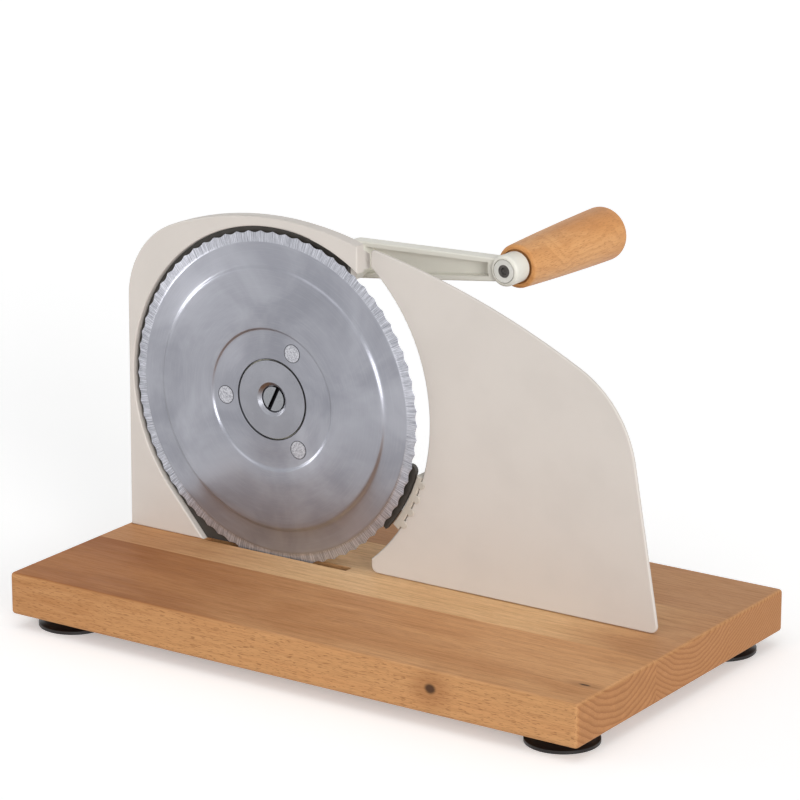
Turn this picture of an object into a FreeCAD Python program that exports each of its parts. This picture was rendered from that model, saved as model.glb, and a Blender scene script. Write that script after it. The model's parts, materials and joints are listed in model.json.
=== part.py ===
import FreeCAD, Part
import math
import os

from FreeCAD import Vector

# Hand cranked bread slicer.
# Millimetres. X runs to the right along the board, Y away from the user, Z up.
# The origin is under the middle of the whole machine, on the surface it stands on.
# A "depth" is measured backwards from the front face of the front plate.

# Board
board_length = 367.6
board_depth = 214.8
board_thickness = 24.1
board_corner_radius = 2.5
board_edge_radius = 2.0

# Feet
foot_radius = 20.0
foot_height = 8.2
foot_rim = 1.8
foot_bevel = 0.9
foot_neck_radius = 13.5
foot_cup_radius = 15.0
foot_cup_depth = 1.2
foot_inset_x = 24.5
foot_inset_y = 25.7

# Blade and its place on the board
face_setback = 106.0
blade_radius = 95.0
blade_sink = 4.0
blade_thickness = 1.2
wave_count = 72
wave_depth = 0.8
bevel_width = 6.3
edge_depth = 1.0
edge_thickness = 0.2
dish_radius = 76.5
dish_slope_width = 2.6
dish_depth = -2.2
dish_outer_depth = -0.1
rim_front_depth = 0.4
centre_radius = 40.4
centre_step_width = 1.2
centre_depth = -1.2
slot_end_gap = 21.2
slot_width = 6.2
slot_floor = 8.0
slot_front_depth = -0.2

# Fixed hub in the middle of the blade
hub_radius = 22.2
hub_thickness = 2.0
hub_gap = 0.8
hub_proud = 0.1
journal_radius = 12.0
spigot_radius = 8.0
dimple_radius = 9.8
dimple_depth = 1.5
axle_screw_head_radius = 6.9
axle_screw_head_gap = 0.9
axle_screw_head_length = 3.0
axle_screw_radius = 3.0
screw_slot_width = 2.4
screw_slot_depth = 1.6
screw_slot_angle = 64.0

# Rivets between the blade and its gear
rivet_count = 3
rivet_circle_radius = 31.6
rivet_first_angle = 64.0
rivet_head_radius = 5.3
rivet_head_length = 0.9
rivet_shank_radius = 3.0
rivet_tail_radius = 4.4
rivet_tail_length = 1.2

# Gear pair
blade_radius_in_modules = 47.5
gear_teeth = 60
pinion_teeth = 15
pressure_angle = 20.0
addendum_share = 0.8
dedendum_share = 1.25
backlash = 0.3
gear_width = 8.0
gear_web = 3.0
gear_rim_wall = 7.0
gear_hub_radius = 20.0
gear_hub_back = 10.0
pinion_front = 2.4
pinion_back = 8.4
pinion_hub_radius = 10.0
blade_bush_wall = 3.5

# Crank
crank_direction = 74.1
crank_angle = 4.4
crank_radius = 99.4
crank_setback = 48.0
arm_setback = 2.0
arm_thickness = 8.0
arm_web = 2.0
arm_rim = 2.8
arm_hub_radius = 10.8
arm_hub_gap = 1.0
arm_tip_half_height = 6.2
boss_radius = 8.7
boss_length = 12.5
boss_round = 2.0
crank_shaft_radius = 6.0
crank_thread_radius = 4.0
crank_nut_across = 13.0
crank_nut_height = 6.5
crank_nut_bevel_inset = 0.3
crank_nut_bevel_rise = 1.2
crank_nut_cap = 1.0
crank_washer_radius = 9.0
crank_washer_thickness = 1.6
crank_bush_wall = 3.0
crank_bush_length = 10.0

# Grip
grip_gap = 0.7
grip_length = 94.0
grip_front_radius = 12.2
grip_front_round = 1.8
grip_end_radius = 15.6
grip_end_round = 5.0
grip_bulge = 0.4
grip_recess_radius = 9.7
grip_recess_depth = 2.5
grip_bolt_radius = 3.6
grip_bolt_inset = 0.5
grip_bolt_head_radius = 6.0
grip_bolt_head_length = 4.0
grip_bolt_socket = 4.0
grip_head_pocket = 7.0
grip_sleeve_wall = 1.4
grip_bush_radius = 6.3
grip_bush_inset = 0.2
grip_bush_groove = 0.45
grip_bush_groove_depth = 1.5

# Front plate
plate_thickness = 6.5
plate_face = 2.5
plate_wall = 2.5
plate_left_gap = 2.7
plate_left_band = 3.8
plate_left_angle = 0.4
plate_crown_band = 5.5
plate_crown_offset = 1.0
plate_corner_radius = 50.0
plate_right_reach = 56.5
opening_gap = 2.5
opening_tangent_angle = 221.0
plate_edge_round = 0.9
tab_thickness = 2.5
tab_depth = 12.5
tab_rear_low = 80.2
tab_rear_high = 88.2
plate_boss_radius = 4.0
plate_boss_angles = (65.5, 140.5)
plate_boss_gaps = (4.0, 9.0)
plate_low_boss_inset = 13.3
plate_low_boss_gap = 9.0
plate_screw_radius = 1.45
plate_screw_skin = 1.0
plate_screw_head_radius = 3.2
plate_screw_head_length = 2.2

# Liner behind the blade
liner_thickness = 2.8
liner_lap = 6.0
liner_hole_gap = 0.2
liner_lobe_gap = 0.6
liner_lobe_start = -41.0
liner_lobe_end = -17.0
liner_screw_angles = (105.0, 165.0, 222.0)
liner_screw_radius = 1.5
liner_screw_head_radius = 2.9
liner_screw_head_length = 1.4
liner_screw_length = 5.0

# Gear housing
housing_panel = 2.5
housing_inset = 1.0
housing_side_inset = 2.0
housing_band_low = 73.0
housing_band_inset = 8.5
gear_room = 2.4
pinion_room = 1.9
housing_wall = 3.0
gear_end_gap = 2.0
bearing_tube_radius = 12.0
bearing_tube_back = 36.0
axle_boss_radius = 14.0
axle_boss_back = 24.0
pedestal_half_width = 24.0
pedestal_top = 36.0
pedestal_back = 27.0
side_foot_left = 8.0
side_foot_width = 24.0
side_foot_height = 14.0
side_foot_back = 24.0
pedestal_screw_offset = 16.0
housing_screw_inset = 7.2
base_screw_radius = 2.1
base_screw_head_radius = 4.2
base_screw_head_length = 2.6
base_screw_sink = 5.0
base_screw_grip = 9.0

# Fence
fence_front = 5.2
fence_thickness = 2.3
fence_lift = 0.4
fence_tip_gap = 5.5
fence_tip_rise = 10.1
fence_top_bulge = 7.7
fence_corner_height = 121.5
fence_corner_radius = 66.0
fence_right_gap = 18.8
fence_right_angle = 10.04
fence_arc_gap = 5.1
fence_arc_offset = 8.9
fence_tip_round = 2.0
fence_foot_round = 4.0
fence_edge_round = 0.8

# Edge guard on the fence
guard_blade_gap = 2.0
guard_start = -38.0
guard_end = -17.5
guard_front = 4.5
guard_back = 12.0
guard_gap = 0.3
guard_round = 0.8
lug_count = 4
lug_radius = 2.3
lug_inset = 0.6
lug_thickness = 0.7
lug_round = 0.4

# Fence carriage
slice_at_rest = 4.2
slice_most = 18.0
thread_lead = 24.0
spindle_height = 32.0
rod_inset = 22.0
rod_radius = 4.0
rod_overrun = 5.5
rod_collar_radius = 7.0
rod_collar_length = 4.0
rod_spigot_radius = 3.0
bracket_thickness = 2.0
bracket_guard_gap = 1.55
bracket_fence_gap = 28.7
bracket_low = 8.0
bracket_high = 54.0
bracket_lip = 8.0
stud_radius = 2.0
stud_length = 5.5
stud_inset = 10.0
stud_low = 14.0
stud_high = 46.0
nut_across = 7.0
nut_height = 3.2
spindle_nut_flange = 9.0
spindle_nut_flange_length = 3.0
spindle_nut_radius = 6.5
spindle_nut_end_gap = 2.2
spindle_radius = 4.0
travel_gap = 0.7
block_depth = 26.0
block_side_inset = 8.0
block_height = 46.0
block_rear_wall = 4.5
block_bore_gap = 1.5
block_foot_height = 6.0
block_round = 5.0
guide_bush_wall = 2.0
spindle_clip_radius = 6.5
spindle_clip_thickness = 1.2
knob_radius = 18.0
knob_thickness = 12.0
knob_hub_radius = 10.0
knob_hub_length = 3.4
knob_groove_count = 12
knob_groove_radius = 2.2
knob_chamfer = 1.2
knob_screw_radius = 1.5
guide_screw_inset = 8.0

# Foot screws
foot_screw_radius = 2.2
foot_screw_head_radius = 5.0
foot_screw_head_length = 2.2
foot_screw_grip = 12.0

# Clearances
running_gap = 0.05
seat_gap = 0.3
screw_gap = 0.1
knob_gap = 0.6
cut_margin = 1.0
level_tolerance = 1e-4

# Places worked out from the sizes above
opening_radius = blade_radius + opening_gap
blade_axis_height = blade_radius - blade_sink
blade_axis_from_left = plate_left_gap + plate_left_band + opening_radius
plate_crown_radius = blade_axis_height + opening_radius + plate_crown_band
plate_right_end = blade_axis_from_left + plate_right_reach
slot_half_length = math.sqrt(blade_radius ** 2 - blade_axis_height ** 2) + slot_end_gap
grip_start = boss_length + grip_gap
grip_end = grip_start + grip_length
overall_depth = face_setback + crank_setback + grip_end
board_front_y = -overall_depth / 2
face_y = board_front_y + face_setback
left_x = -board_length / 2
board_top = foot_height + board_thickness
blade_x = left_x + blade_axis_from_left
blade_z = board_top + blade_axis_height
gear_module = blade_radius / blade_radius_in_modules
gear_radius = gear_module * gear_teeth / 2
pinion_radius = gear_module * pinion_teeth / 2
centre_distance = gear_radius + pinion_radius
crank_x = blade_x + centre_distance * math.cos(math.radians(crank_direction))
crank_z = blade_z + centre_distance * math.sin(math.radians(crank_direction))
boss_x = crank_x + crank_radius * math.cos(math.radians(crank_angle))
boss_z = crank_z + crank_radius * math.sin(math.radians(crank_angle))
housing_back_front = gear_hub_back + gear_end_gap
housing_back = housing_back_front + housing_wall
panel_front = plate_thickness
liner_front = plate_thickness - liner_thickness
panel_back = panel_front + housing_panel
gear_room_radius = gear_radius + addendum_share * gear_module + gear_room
pinion_room_radius = pinion_radius + addendum_share * gear_module + pinion_room
fence_back = fence_front + fence_thickness
fence_arc_x = blade_x - fence_arc_offset
fence_arc_radius = blade_radius + fence_arc_gap + fence_arc_offset
guard_radius = blade_radius + guard_blade_gap
liner_side_radius = blade_radius - liner_lap
liner_hole_radius = gear_room_radius + liner_hole_gap
liner_lobe_radius = guard_radius - liner_lobe_gap
liner_screw_circle_radius = (liner_hole_radius + liner_side_radius) / 2
housing_side_radius = liner_side_radius - housing_side_inset
band_low = blade_z + housing_band_low
band_right = left_x + plate_right_end - housing_band_inset
bracket_back = fence_back + bracket_thickness
travel_back = slice_most - slice_at_rest
bracket_left_x = fence_arc_x + fence_arc_radius * math.cos(math.radians(guard_end)) + bracket_guard_gap
fence_right_lean = math.tan(math.radians(fence_right_angle))
bracket_right_x = -left_x - fence_right_gap - bracket_high * fence_right_lean - bracket_fence_gap
bracket_width = bracket_right_x - bracket_left_x
spindle_x = (bracket_left_x + bracket_right_x) / 2
spindle_z = board_top + spindle_height
spindle_front = fence_back + travel_back + travel_gap
block_foot_front = spindle_front
block_front = spindle_front + bracket_lip
block_back = block_front + block_depth
block_width = bracket_width - 2 * block_side_inset
rod_spacing = bracket_width - 2 * rod_inset
stud_spacing = bracket_width - 2 * stud_inset
clip_back = block_back - block_rear_wall - seat_gap
spindle_nut_back = clip_back - spindle_clip_thickness - travel_back - spindle_nut_end_gap
knob_front = block_back + knob_gap + knob_hub_length
arm_front = crank_setback + arm_setback
arm_back = arm_front + arm_thickness
arm_hub_front = bearing_tube_back + arm_hub_gap


# Helpers for shapes drawn in the X-Z plane and pushed back along Y

def flat(x, z):
    return Vector(x, 0, z)


def polar(x, z, radius, degrees):
    turn = math.radians(degrees)
    return flat(x + radius * math.cos(turn), z + radius * math.sin(turn))


def angle_of(x, z, point):
    return math.degrees(math.atan2(point.z - z, point.x - x))


def arc(x, z, radius, start, end):
    middle = (start + end) / 2
    points = [polar(x, z, radius, a) for a in (start, middle, end)]
    return Part.Arc(*points).toShape()


def bulged(start, end, bulge):
    # An arc from start to end that stands out to the left of the way by the bulge.
    way = end.sub(start)
    side = Vector(-way.z, 0, way.x).normalize()
    middle = start.add(end).multiply(0.5).add(side.multiply(bulge))
    return Part.Arc(start, middle, end).toShape()


def prism(edges, front, back):
    face = Part.Face(Part.Wire(edges))
    face.translate(Vector(0, face_y + front, 0))
    return face.extrude(Vector(0, back - front, 0))


def closed(points):
    return Part.makePolygon(points + [points[0]]).Edges


def drum(x, z, radius, front, back):
    return Part.makeCylinder(radius, back - front, Vector(x, face_y + front, z), Vector(0, 1, 0))


def tube(x, z, outer, inner, front, back):
    return drum(x, z, outer, front, back).cut(drum(x, z, inner, front, back))


def block(x0, x1, front, back, z0, z1):
    return Part.makeBox(x1 - x0, back - front, z1 - z0, Vector(x0, face_y + front, z0))


def turned(x, z, profile):
    # Turns a closed outline of (radius, depth) points round an axis along Y.
    points = [Vector(x + radius, face_y + depth, z) for radius, depth in profile]
    face = Part.Face(Part.makePolygon(points + [points[0]]))
    return face.revolve(Vector(x, 0, z), Vector(0, 1, 0), 360)


def hexagon(x, z, across, front, back):
    corner = across / math.sqrt(3)
    return prism(closed([polar(x, z, corner, 60 * i) for i in range(6)]), front, back)


def ring_sector(x, z, inner, outer, start, end, front, back):
    edges = [
        arc(x, z, outer, start, end),
        Part.makeLine(polar(x, z, outer, end), polar(x, z, inner, end)),
        arc(x, z, inner, end, start),
        Part.makeLine(polar(x, z, inner, start), polar(x, z, outer, start)),
    ]
    return prism(edges, front, back)


def edges_at_depth(shape, depth):
    low = face_y + depth - level_tolerance
    high = face_y + depth + level_tolerance
    return [e for e in shape.Edges if e.BoundBox.YMin > low and e.BoundBox.YMax < high]


def fused(shapes):
    whole = shapes[0].fuse(shapes[1:])
    return whole.removeSplitter()


def upright(x, y, radius, low, high):
    return Part.makeCylinder(radius, high - low, Vector(x, y, low))


# Board and feet

def base_screw_spots():
    pedestal_y = face_y + pedestal_back - housing_screw_inset
    side_y = face_y + side_foot_back - housing_screw_inset
    side_x = left_x + side_foot_left + side_foot_width / 2
    spots = [(blade_x + side * pedestal_screw_offset, pedestal_y) for side in (-1, 1)]
    return spots + [(side_x, side_y)]


def guide_screw_spots():
    half = block_width / 2 - guide_screw_inset
    front = face_y + block_foot_front + guide_screw_inset / 2
    back = face_y + block_back - guide_screw_inset
    return [(spindle_x + side * half, y) for side in (-1, 1) for y in (front, back)]


def foot_spots():
    left = left_x + foot_inset_x
    right = -left_x - foot_inset_x
    front = board_front_y + foot_inset_y
    rear = board_front_y + board_depth - foot_inset_y
    return {
        "foot_front_left": (left, front),
        "foot_front_right": (right, front),
        "foot_rear_left": (left, rear),
        "foot_rear_right": (right, rear),
    }


def make_board():
    corner = Vector(left_x, board_front_y, foot_height)
    board = Part.makeBox(board_length, board_depth, board_thickness, corner)
    uprights = [e for e in board.Edges if e.BoundBox.ZLength > board_thickness / 2]
    board = board.makeFillet(board_corner_radius, uprights)
    rims = [e for e in board.Edges if e.BoundBox.ZLength < level_tolerance]
    board = board.makeFillet(board_edge_radius, rims)
    slot = block(
        blade_x - slot_half_length, blade_x + slot_half_length,
        slot_front_depth, slot_front_depth + slot_width,
        board_top - slot_floor, board_top + slot_floor,
    )
    board = board.cut(slot)
    for x, y in base_screw_spots() + guide_screw_spots():
        hole = upright(x, y, base_screw_radius + screw_gap, foot_height, board_top)
        sink = upright(x, y, base_screw_head_radius + screw_gap, foot_height, foot_height + base_screw_sink)
        board = board.cut(hole.fuse(sink))
    for x, y in foot_spots().values():
        board = board.cut(upright(x, y, foot_screw_radius, foot_height, foot_height + foot_screw_grip))
    return board


def make_foot(x, y):
    outline = [
        (foot_screw_radius + screw_gap, foot_height),
        (foot_neck_radius, foot_height),
        (foot_neck_radius, foot_height - foot_rim),
        (foot_radius - foot_rim, foot_rim + foot_bevel),
        (foot_radius, foot_rim),
        (foot_radius, 0),
        (foot_cup_radius, 0),
        (foot_cup_radius - foot_cup_depth, foot_cup_depth),
        (foot_screw_head_radius + screw_gap, foot_cup_depth),
        (foot_screw_head_radius + screw_gap, foot_cup_depth + foot_screw_head_length),
        (foot_screw_radius + screw_gap, foot_cup_depth + foot_screw_head_length),
    ]
    points = [Vector(x + radius, y, height) for radius, height in outline]
    face = Part.Face(Part.makePolygon(points + [points[0]]))
    return face.revolve(Vector(x, y, 0), Vector(0, 0, 1), 360)


def make_foot_screws():
    screws = []
    seat = foot_cup_depth + foot_screw_head_length
    for x, y in foot_spots().values():
        head = upright(x, y, foot_screw_head_radius, foot_cup_depth, seat)
        shank = upright(x, y, foot_screw_radius, seat, foot_height + foot_screw_grip)
        screws.append(head.fuse(shank).removeSplitter())
    return Part.makeCompound(screws)


def make_base_screws(spots):
    screws = []
    seat = foot_height + base_screw_sink
    for x, y in spots:
        head = upright(x, y, base_screw_head_radius, seat - base_screw_head_length, seat)
        shank = upright(x, y, base_screw_radius, seat, board_top + base_screw_grip)
        screws.append(head.fuse(shank).removeSplitter())
    return Part.makeCompound(screws)


# Front plate

def plate_outline(inset):
    # The plate's outer shape, without the blade's opening.
    lean = flat(math.sin(math.radians(plate_left_angle)), math.cos(math.radians(plate_left_angle)))
    inward = Vector(lean.z, 0, -lean.x)
    foot = flat(left_x + plate_left_gap, board_top).add(Vector(inward).multiply(inset))
    crown = plate_crown_radius - inset
    corner = plate_corner_radius - inset
    heart = flat(blade_x + plate_crown_offset, board_top)
    start = foot.add(Vector(inward).multiply(corner)).sub(heart)
    along = start.dot(lean)
    reach = -along + math.sqrt(along ** 2 - start.dot(start) + (crown - corner) ** 2)
    low_turn = foot.add(Vector(lean).multiply(reach))
    centre = low_turn.add(Vector(inward).multiply(corner))
    high_angle = angle_of(heart.x, heart.z, centre)
    low_angle = angle_of(centre.x, centre.z, low_turn) % 360
    right = left_x + plate_right_end - inset
    right_angle = math.degrees(math.acos((right - heart.x) / crown))
    top_right = polar(heart.x, heart.z, crown, right_angle)
    floor = board_top + inset
    left_foot = foot.add(Vector(lean).multiply(inset / lean.z))
    return [
        Part.makeLine(left_foot, low_turn),
        arc(centre.x, centre.z, corner, low_angle, high_angle),
        arc(heart.x, heart.z, crown, high_angle, right_angle),
        Part.makeLine(top_right, flat(right, floor)),
        Part.makeLine(flat(right, floor), left_foot),
    ]


def opening(grow, front, back):
    # The blade's opening: a circle that runs straight down to the board at the lower left.
    radius = opening_radius + grow
    touch = polar(blade_x, blade_z, radius, opening_tangent_angle)
    way = math.radians(opening_tangent_angle + 90)
    low = board_top - slot_floor
    run = (low - touch.z) / math.sin(way)
    foot = flat(touch.x + run * math.cos(way), low)
    right = blade_x + radius
    skirt = prism(
        closed([touch, foot, flat(right, low), flat(right, blade_z), flat(blade_x, blade_z)]), front, back
    )
    return drum(blade_x, blade_z, radius, front, back).fuse(skirt)


def plate_screw_spots():
    spots = []
    for angle, gap in zip(plate_boss_angles, plate_boss_gaps):
        spot = polar(blade_x, blade_z, opening_radius + gap, angle)
        spots.append((spot.x, spot.z))
    low_x = left_x + plate_left_gap + plate_low_boss_inset
    return spots + [(low_x, board_top + side_foot_height + plate_low_boss_gap)]


def make_front_plate():
    body = prism(plate_outline(0), 0, plate_thickness)
    body = body.cut(opening(0, 0, plate_thickness))
    body = body.makeFillet(plate_edge_round, edges_at_depth(body, 0))
    pocket = prism(plate_outline(plate_wall), plate_face, plate_thickness)
    pocket = pocket.cut(opening(plate_wall, plate_face, plate_thickness))
    body = body.cut(pocket)
    bosses = [drum(x, z, plate_boss_radius, plate_face, plate_thickness) for x, z in plate_screw_spots()]
    limit = prism(plate_outline(plate_edge_round), 0, plate_thickness).cut(opening(0, 0, plate_thickness))
    body = fused([body] + [boss.common(limit) for boss in bosses])
    right = left_x + plate_right_end
    crown_reach = right - blade_x - plate_crown_offset
    opening_reach = right - blade_x - tab_thickness
    top = board_top + math.sqrt(plate_crown_radius ** 2 - crown_reach ** 2)
    low = blade_z + math.sqrt(opening_radius ** 2 - opening_reach ** 2)
    side = [
        Vector(right, face_y + plate_face, top - plate_edge_round),
        Vector(right, face_y + tab_depth, blade_z + tab_rear_high),
        Vector(right, face_y + tab_depth, blade_z + tab_rear_low),
        Vector(right, face_y + plate_face, low),
    ]
    tab = Part.Face(Part.makePolygon(side + [side[0]])).extrude(Vector(-tab_thickness, 0, 0))
    body = fused([body, tab])
    for x, z in plate_screw_spots():
        body = body.cut(drum(x, z, plate_screw_radius, plate_face + plate_screw_skin, plate_thickness))
    return body


def make_plate_screws():
    screws = []
    for x, z in plate_screw_spots():
        shank = drum(x, z, plate_screw_radius, plate_face + plate_screw_skin, panel_back)
        head = drum(x, z, plate_screw_head_radius, panel_back, panel_back + plate_screw_head_length)
        screws.append(shank.fuse(head).removeSplitter())
    return Part.makeCompound(screws)


# Liner behind the blade

def make_liner():
    front = liner_front
    back = panel_front
    left = opening(-seat_gap, front, back)
    top = blade_z + opening_radius
    floor = board_top + seat_gap
    keep_left = block(left_x, blade_x, front, back, floor, top)
    keep_band = block(blade_x, band_right, front, back, band_low, top)
    ring = left.common(fused([keep_left, keep_band]))
    disc = drum(blade_x, blade_z, liner_side_radius, front, back)
    lobe = ring_sector(
        blade_x, blade_z, liner_hole_radius, liner_lobe_radius, liner_lobe_start, liner_lobe_end, front, back
    )
    nose_middle = (liner_side_radius + liner_lobe_radius) / 2
    nose_spot = polar(blade_x, blade_z, nose_middle, liner_lobe_end)
    nose = drum(nose_spot.x, nose_spot.z, (liner_lobe_radius - liner_side_radius) / 2, front, back)
    floor_cut = block(left_x, blade_x + opening_radius, front, back, foot_height, floor)
    body = fused([ring, disc, lobe, nose]).cut(floor_cut)
    body = body.cut(drum(blade_x, blade_z, liner_hole_radius, front, back))
    body = body.cut(drum(crank_x, crank_z, pinion_room_radius, front, back))
    for spot in liner_screw_spots():
        seat = front + liner_screw_head_length
        body = body.cut(drum(spot.x, spot.z, liner_screw_head_radius + screw_gap, front, seat))
        body = body.cut(drum(spot.x, spot.z, liner_screw_radius + screw_gap, front, back))
    return body


def liner_screw_spots():
    return [polar(blade_x, blade_z, liner_screw_circle_radius, angle) for angle in liner_screw_angles]


def make_liner_screws():
    screws = []
    for spot in liner_screw_spots():
        seat = liner_front + liner_screw_head_length
        head = drum(spot.x, spot.z, liner_screw_head_radius, liner_front, seat)
        shank = drum(spot.x, spot.z, liner_screw_radius, seat, liner_front + liner_screw_length)
        screws.append(head.fuse(shank).removeSplitter())
    return Part.makeCompound(screws)


# Gear housing

def make_housing():
    floor = board_top
    panel = prism(plate_outline(housing_inset), panel_front, panel_back)
    top = board_top + plate_crown_radius
    keep = fused([
        block(left_x, blade_x, panel_front, panel_back, floor, top),
        block(blade_x, band_right, panel_front, panel_back, band_low, top),
        drum(blade_x, blade_z, housing_side_radius, panel_front, panel_back),
    ])
    panel = panel.common(keep)
    cup = drum(blade_x, blade_z, gear_room_radius + housing_wall, panel_front, housing_back)
    lobe = drum(crank_x, crank_z, pinion_room_radius + housing_wall, panel_front, housing_back)
    bearing = drum(crank_x, crank_z, bearing_tube_radius, housing_back_front, bearing_tube_back)
    axle_boss = drum(blade_x, blade_z, axle_boss_radius, housing_back_front, axle_boss_back)
    pedestal = block(
        blade_x - pedestal_half_width, blade_x + pedestal_half_width,
        panel_front, pedestal_back, floor, floor + pedestal_top,
    )
    side_left = left_x + side_foot_left
    side_foot = block(
        side_left, side_left + side_foot_width, panel_front, side_foot_back, floor, floor + side_foot_height
    )
    body = fused([panel, cup, lobe, bearing, axle_boss, pedestal, side_foot])
    body = body.cut(drum(blade_x, blade_z, gear_room_radius, panel_front, housing_back_front))
    body = body.cut(drum(crank_x, crank_z, pinion_room_radius, panel_front, housing_back_front))
    bush_radius = crank_shaft_radius + running_gap + crank_bush_wall
    body = body.cut(drum(crank_x, crank_z, bush_radius, housing_back_front, bearing_tube_back))
    body = body.cut(drum(blade_x, blade_z, spigot_radius, housing_back_front, housing_back))
    body = body.cut(drum(blade_x, blade_z, axle_screw_radius, housing_back, axle_boss_back))
    for x, y in base_screw_spots():
        body = body.cut(upright(x, y, base_screw_radius, floor, floor + base_screw_grip))
    for x, z in plate_screw_spots():
        body = body.cut(drum(x, z, plate_screw_radius + screw_gap, panel_front, panel_back))
    for spot in liner_screw_spots():
        screw_end = liner_front + liner_screw_length
        body = body.cut(drum(spot.x, spot.z, liner_screw_radius, panel_front, screw_end))
    return body


# Fixed hub of the blade

def make_axle_hub():
    front = centre_depth - hub_proud
    flange_back = front + hub_thickness
    flange = drum(blade_x, blade_z, hub_radius, front, flange_back)
    journal = drum(blade_x, blade_z, journal_radius, flange_back, housing_back_front)
    spigot = drum(blade_x, blade_z, spigot_radius, housing_back_front, housing_back)
    pocket_radius = axle_screw_head_radius + axle_screw_head_gap
    pocket = drum(blade_x, blade_z, pocket_radius, front, front + dimple_depth + axle_screw_head_length)
    dimple = turned(blade_x, blade_z, [
        (0, front), (dimple_radius, front), (pocket_radius, front + dimple_depth), (0, front + dimple_depth),
    ])
    bore = drum(blade_x, blade_z, axle_screw_radius + screw_gap, front, housing_back)
    return fused([flange, journal, spigot]).cut(pocket).cut(dimple).cut(bore)


def make_axle_screw():
    front = centre_depth - hub_proud + dimple_depth
    seat = front + axle_screw_head_length
    head = drum(blade_x, blade_z, axle_screw_head_radius, front, seat)
    shank = drum(blade_x, blade_z, axle_screw_radius, seat, axle_boss_back)
    slot = block(
        blade_x - axle_screw_head_radius, blade_x + axle_screw_head_radius,
        front, front + screw_slot_depth, blade_z - screw_slot_width / 2, blade_z + screw_slot_width / 2,
    )
    slot.rotate(Vector(blade_x, 0, blade_z), Vector(0, 1, 0), -screw_slot_angle)
    return head.fuse(shank).removeSplitter().cut(slot)


# Blade and what turns with it

def rivet_spots():
    angles = [rivet_first_angle + 360 / rivet_count * i for i in range(rivet_count)]
    return [polar(blade_x, blade_z, rivet_circle_radius, angle) for angle in angles]


def make_blade():
    bore = hub_radius + hub_gap
    rim = blade_radius - bevel_width
    front_line = [
        (bore, centre_depth),
        (centre_radius - centre_step_width, centre_depth),
        (centre_radius, dish_depth),
        (dish_radius - dish_slope_width, dish_depth),
        (dish_radius, dish_outer_depth),
        (rim, rim_front_depth),
        (blade_radius + wave_depth, edge_depth),
    ]
    back_line = [
        (blade_radius + wave_depth, edge_depth + edge_thickness),
        (rim, rim_front_depth + blade_thickness),
        (dish_radius, dish_outer_depth + blade_thickness),
        (dish_radius - dish_slope_width, dish_depth + blade_thickness),
        (centre_radius + centre_step_width / 2, dish_depth + blade_thickness),
        (centre_radius - centre_step_width / 2, centre_depth + blade_thickness),
        (bore, centre_depth + blade_thickness),
    ]
    disc = turned(blade_x, blade_z, front_line + back_line)
    pitch = 360 / wave_count
    waves = []
    for i in range(wave_count):
        tip = polar(blade_x, blade_z, blade_radius, i * pitch)
        dip = polar(blade_x, blade_z, blade_radius - wave_depth, (i + 0.5) * pitch)
        next_tip = polar(blade_x, blade_z, blade_radius, (i + 1) * pitch)
        waves.append(Part.Arc(tip, dip, next_tip).toShape())
    waves_front = dish_depth - cut_margin
    waves_back = edge_depth + blade_thickness + cut_margin
    disc = disc.common(prism(waves, waves_front, waves_back))
    for spot in rivet_spots():
        recess = rivet_head_length - hub_proud
        disc = disc.cut(drum(spot.x, spot.z, rivet_head_radius, centre_depth, centre_depth + recess))
        hole_back = centre_depth + blade_thickness
        disc = disc.cut(drum(spot.x, spot.z, rivet_shank_radius, centre_depth, hole_back))
    return disc


def make_rivets():
    web_back = centre_depth + blade_thickness + gear_web
    head_back = centre_depth - hub_proud + rivet_head_length
    rivets = []
    for spot in rivet_spots():
        head = drum(spot.x, spot.z, rivet_head_radius, centre_depth - hub_proud, head_back)
        shank = drum(spot.x, spot.z, rivet_shank_radius, head_back, web_back)
        tail = drum(spot.x, spot.z, rivet_tail_radius, web_back, web_back + rivet_tail_length)
        rivets.append(fused([head, shank, tail]))
    return Part.makeCompound(rivets)


def gear_outline(x, z, teeth, tooth_angle):
    # Involute teeth. Each flank is an arc through three points of the involute.
    pitch_radius = gear_module * teeth / 2
    base = pitch_radius * math.cos(math.radians(pressure_angle))
    tip = pitch_radius + addendum_share * gear_module
    root = pitch_radius - dedendum_share * gear_module
    start = max(base, root)
    slope = math.tan(math.radians(pressure_angle)) - math.radians(pressure_angle)
    half_tooth = math.pi / (2 * teeth) - backlash / (4 * pitch_radius)

    def half_angle(radius):
        roll = math.acos(min(1.0, base / radius))
        return half_tooth + slope - (math.tan(roll) - roll)

    def spot(radius, middle, side):
        return polar(x, z, radius, middle + side * math.degrees(half_angle(radius)))

    edges = []
    step = 360 / teeth
    for i in range(teeth):
        middle = tooth_angle + i * step
        wide = math.degrees(half_angle(start))
        narrow = math.degrees(half_angle(tip))
        mean = (start + tip) / 2
        foot_in = polar(x, z, root, middle - wide)
        foot_out = polar(x, z, root, middle + wide)
        if start > root:
            edges.append(Part.makeLine(foot_in, spot(start, middle, -1)))
        rising = [spot(radius, middle, -1) for radius in (start, mean, tip)]
        falling = [spot(radius, middle, 1) for radius in (tip, mean, start)]
        edges.append(Part.Arc(*rising).toShape())
        edges.append(arc(x, z, tip, middle - narrow, middle + narrow))
        edges.append(Part.Arc(*falling).toShape())
        if start > root:
            edges.append(Part.makeLine(spot(start, middle, 1), foot_out))
        edges.append(arc(x, z, root, middle + wide, middle + step - wide))
    return edges


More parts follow.
